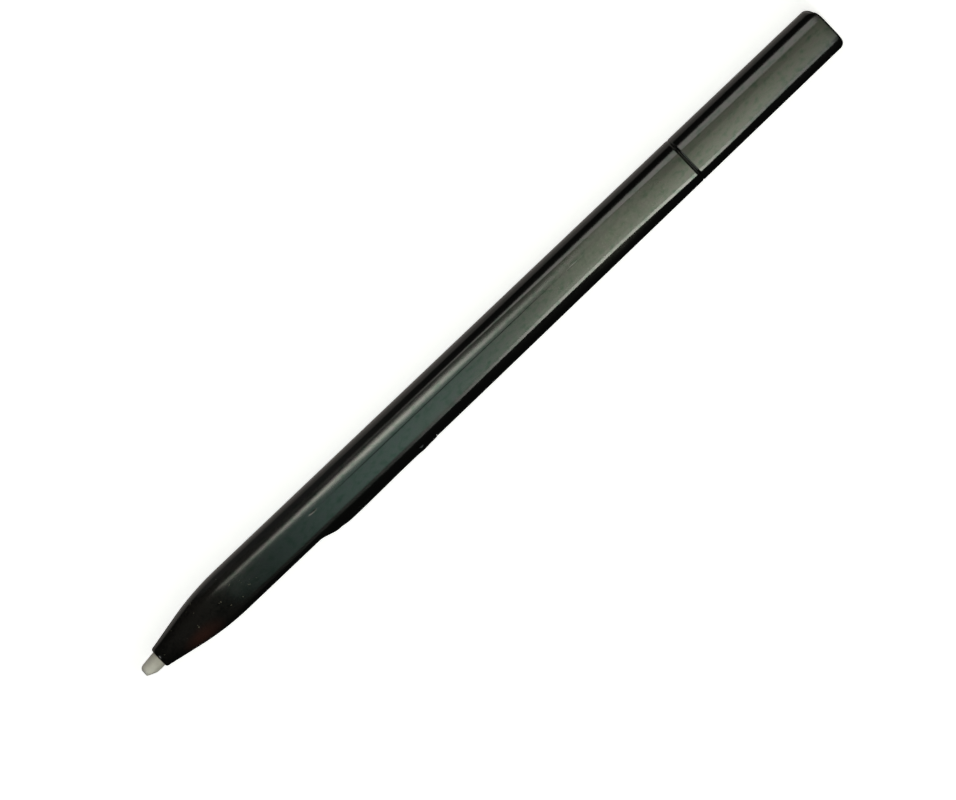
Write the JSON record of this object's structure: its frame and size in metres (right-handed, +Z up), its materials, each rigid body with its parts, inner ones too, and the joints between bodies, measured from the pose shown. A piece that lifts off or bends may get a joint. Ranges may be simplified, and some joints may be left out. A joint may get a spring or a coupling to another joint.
{
  "type": "digitizer stylus pen",
  "caption": "Slim black digitizer stylus with a bullet nose, a pale blunt nib, flats above and below, a hinged side key and a pull-off tail cap.",
  "frame": {"origin": "middle of the pen's bounding box, on the surface it lies on", "axes": "+X along the pen towards the tail, the side key faces -Y, +Z up out of the upper flat"},
  "size_m": [0.13, 0.008, 0.0065],
  "materials": {
    "casing": "satin moulded black with fine wear",
    "key_plastic": "satin moulded black",
    "inner_plastic": "matt moulded",
    "white_plastic": "matt moulded",
    "nib_acetal": "slightly translucent, worn",
    "conductive_rubber": "matt",
    "damper_rubber": "matt",
    "foam_rubber": "matt, cellular",
    "film": "smooth",
    "spring_steel": "bright",
    "switch_steel": "stamped",
    "steel_pin": "ground",
    "gilt_brass": "plated",
    "ferrite": "sintered, dull",
    "magnet_wire": "enamelled copper, satin",
    "switch_plastic": "matt",
    "plunger_plastic": "matt",
    "board_laminate": "solder-masked",
    "ceramic_chips": "ceramic",
    "trimmer_ceramic": "ceramic"
  },
  "bodies": {
    "pen": {"barrel": "casing", "sensor_case": "inner_plastic", "sensor_plug": "inner_plastic", "sensor_terminals": "gilt_brass", "return_spring": "spring_steel", "spacer_ring": "film", "dielectric_disc": "film", "ferrite_core": "ferrite", "coil_winding": "magnet_wire", "front_damper": "damper_rubber", "rear_damper": "damper_rubber", "coil_leads": "magnet_wire", "key_hinge_pin": "steel_pin", "switch_base": "switch_plastic", "switch_cover": "switch_steel", "switch_dome": "spring_steel", "circuit_board": "board_laminate", "chip_capacitors": "ceramic_chips", "trimmer_body": "trimmer_ceramic", "board_carrier": "inner_plastic", "tail_cushion": "foam_rubber"},
    "nib_set": {"nib": "nib_acetal", "nib_holder": "white_plastic", "contact_rubber": "conductive_rubber"},
    "key": {"side_key": "key_plastic"},
    "plunger": {"switch_plunger": "plunger_plastic"},
    "cap": {"tail_cap": "casing", "cap_sleeve": "inner_plastic", "cap_grip_ring": "damper_rubber"},
    "trimmer": {"trimmer_rotor": "gilt_brass"}
  },
  "joints": [
    {"name": "nib_press", "type": "slide", "parent": "pen", "child": "nib_set", "axis": [1, 0, 0], "range_m": [0, 0.0003], "stiffness_N_per_m": 800, "springref_m": -0.0002, "deforming": ["return_spring"]},
    {"name": "key_press", "type": "hinge", "parent": "pen", "child": "key", "pos_m": [-0.0157, -0.0031, 0.00324], "axis": [0, 0, -1], "range_deg": [0, 1.5], "stiffness_Nm_per_rad": 0.5, "springref_deg": -0.57},
    {"name": "switch_press", "type": "slide", "parent": "pen", "child": "plunger", "axis": [0, 1, 0], "range_m": [0, 0.00025], "deforming": ["switch_dome"]},
    {"name": "tail_cap_pull", "type": "slide", "parent": "pen", "child": "cap", "axis": [1, 0, 0], "range_m": [0, 0.014]},
    {"name": "trimmer_turn", "type": "hinge", "parent": "pen", "child": "trimmer", "pos_m": [0.007, -0.00085, 0.00324], "axis": [0, -1, 0], "range_deg": [-90, 90]}
  ],
  "couplings": [
    {"joint": "switch_press", "follows": "key_press", "m_per_rad": 0.0093}
  ]
}
